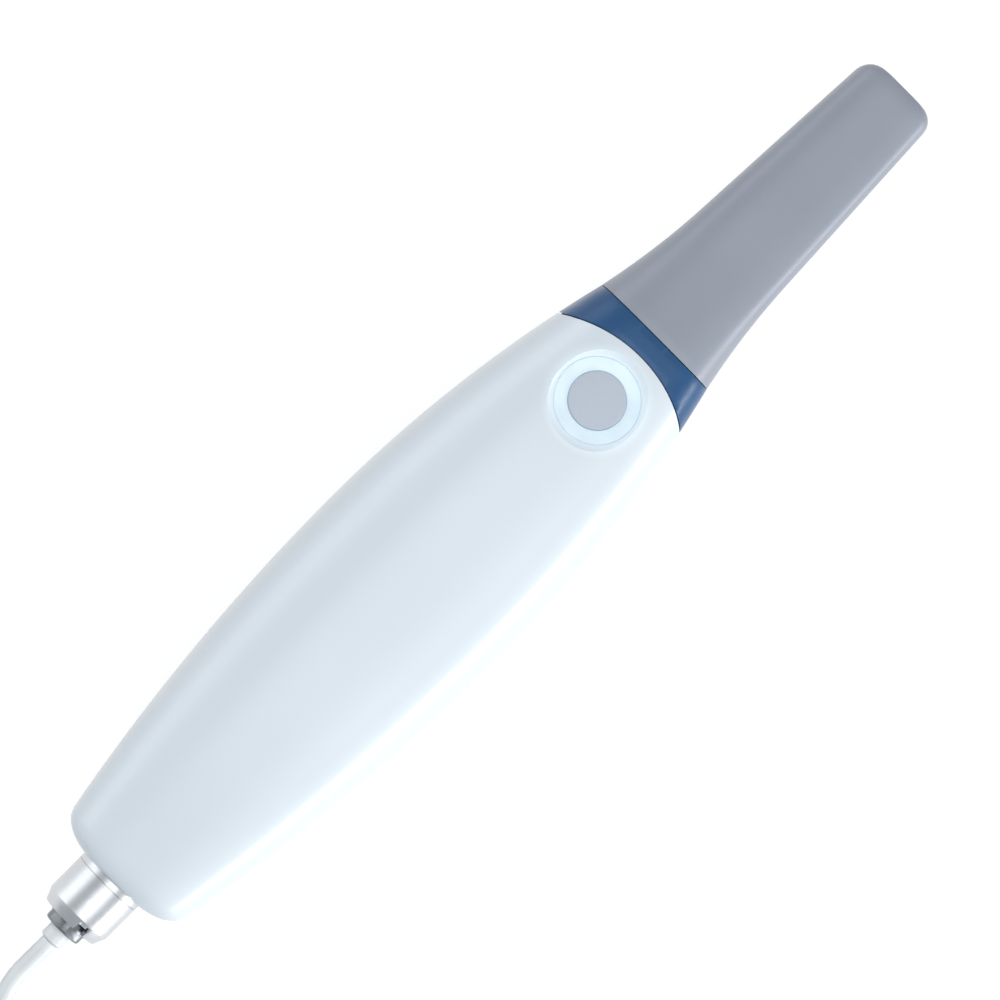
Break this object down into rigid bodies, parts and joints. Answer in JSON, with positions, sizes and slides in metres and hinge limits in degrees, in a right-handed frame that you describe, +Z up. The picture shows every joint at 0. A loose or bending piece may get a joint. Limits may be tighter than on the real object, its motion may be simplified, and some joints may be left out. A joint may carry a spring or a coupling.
{
  "type": "intraoral scanner",
  "caption": "Handheld intraoral scanner: split-shell handle with lit scan button, collar, removable mirror tip on a hollow snout, push-pull plug and tied lead.",
  "frame": {"origin": "middle of the flat land under the belly, at the handle's widest station", "axes": "+X along the handle towards the tip, +Z up through the scan button, +Y to the left seen from behind"},
  "size_m": [0.3798, 0.0692, 0.045],
  "materials": {
    "white_shell": "satin-gloss moulded white shell",
    "collar_blue": "satin blue moulded collar",
    "tip_grey": "satin grey autoclavable plastic",
    "button_grey": "fine-textured grey cap",
    "light_guide": "translucent, lit from behind",
    "plug_steel": "turned and plated metal",
    "dark_steel": "darker plated metal",
    "chassis_aluminium": "machined",
    "black_plastic": "light-absorbing black",
    "rubber": "soft black",
    "optical_glass": "coated glass",
    "mirror": "front-surface mirror",
    "circuit_board": "green solder mask",
    "chip_black": "moulded package",
    "cable_white": "soft white sheath"
  },
  "bodies": {
    "handle": {"upper_shell": "white_shell", "lower_shell": "white_shell", "collar": "collar_blue", "light_ring": "light_guide", "socket": "plug_steel", "button_spring": "plug_steel", "socket_nut": "dark_steel", "chassis_screw_1": "dark_steel", "chassis_screw_2": "dark_steel", "chassis_screw_3": "dark_steel", "chassis_screw_4": "dark_steel", "snout_screw_1": "dark_steel", "snout_screw_2": "dark_steel", "board_screw_1": "dark_steel", "board_screw_2": "dark_steel", "board_screw_3": "dark_steel", "board_screw_4": "dark_steel", "button_screw_1": "dark_steel", "button_screw_2": "dark_steel", "chassis": "chassis_aluminium", "led_heat_sink": "chassis_aluminium", "processor_cooler": "chassis_aluminium", "snout": "black_plastic", "objective_barrel": "black_plastic", "camera_lens_barrel": "black_plastic", "projector_barrel": "black_plastic", "socket_contacts": "black_plastic", "inner_harness": "black_plastic", "button_flex": "black_plastic", "tip_grip_ring": "rubber", "snout_window": "optical_glass", "front_lens": "optical_glass", "rear_lens": "optical_glass", "projector_lens": "optical_glass", "beam_splitter": "optical_glass", "main_board": "circuit_board", "camera_board": "circuit_board", "led_board": "circuit_board", "button_board": "circuit_board", "processor": "chip_black", "camera_sensor": "chip_black", "projector_led": "chip_black", "button_switch": "chip_black", "board_header": "chip_black"},
    "button": {"scan_button": "button_grey"},
    "tip": {"tip_shell": "tip_grey", "tip_mirror": "mirror"},
    "plug": {"plug_core": "plug_steel", "plug_contacts": "black_plastic", "back_nut": "dark_steel", "strain_relief": "cable_white", "cable": "cable_white", "cable_coil": "cable_white", "cable_tie": "rubber", "cable_tail": "cable_white", "usb_body": "cable_white", "usb_shell": "plug_steel"},
    "sleeve": {"plug_sleeve": "plug_steel"}
  },
  "joints": [
    {"name": "button_press", "type": "slide", "parent": "handle", "child": "button", "axis": [-0.1385, 0, -0.9904], "range_m": [0, 0.0008], "stiffness_N_per_m": 900, "springref_m": -0.0005, "deforming": ["button_spring"]},
    {"name": "tip_release", "type": "slide", "parent": "handle", "child": "tip", "axis": [1, 0, 0], "range_m": [0, 0.06]},
    {"name": "plug_release", "type": "slide", "parent": "handle", "child": "plug", "axis": [-1, 0, 0], "range_m": [0, 0.022]},
    {"name": "sleeve_slide", "type": "slide", "parent": "plug", "child": "sleeve", "axis": [-1, 0, 0], "range_m": [0, 0.0015], "stiffness_N_per_m": 1500, "springref_m": -0.001}
  ]
}
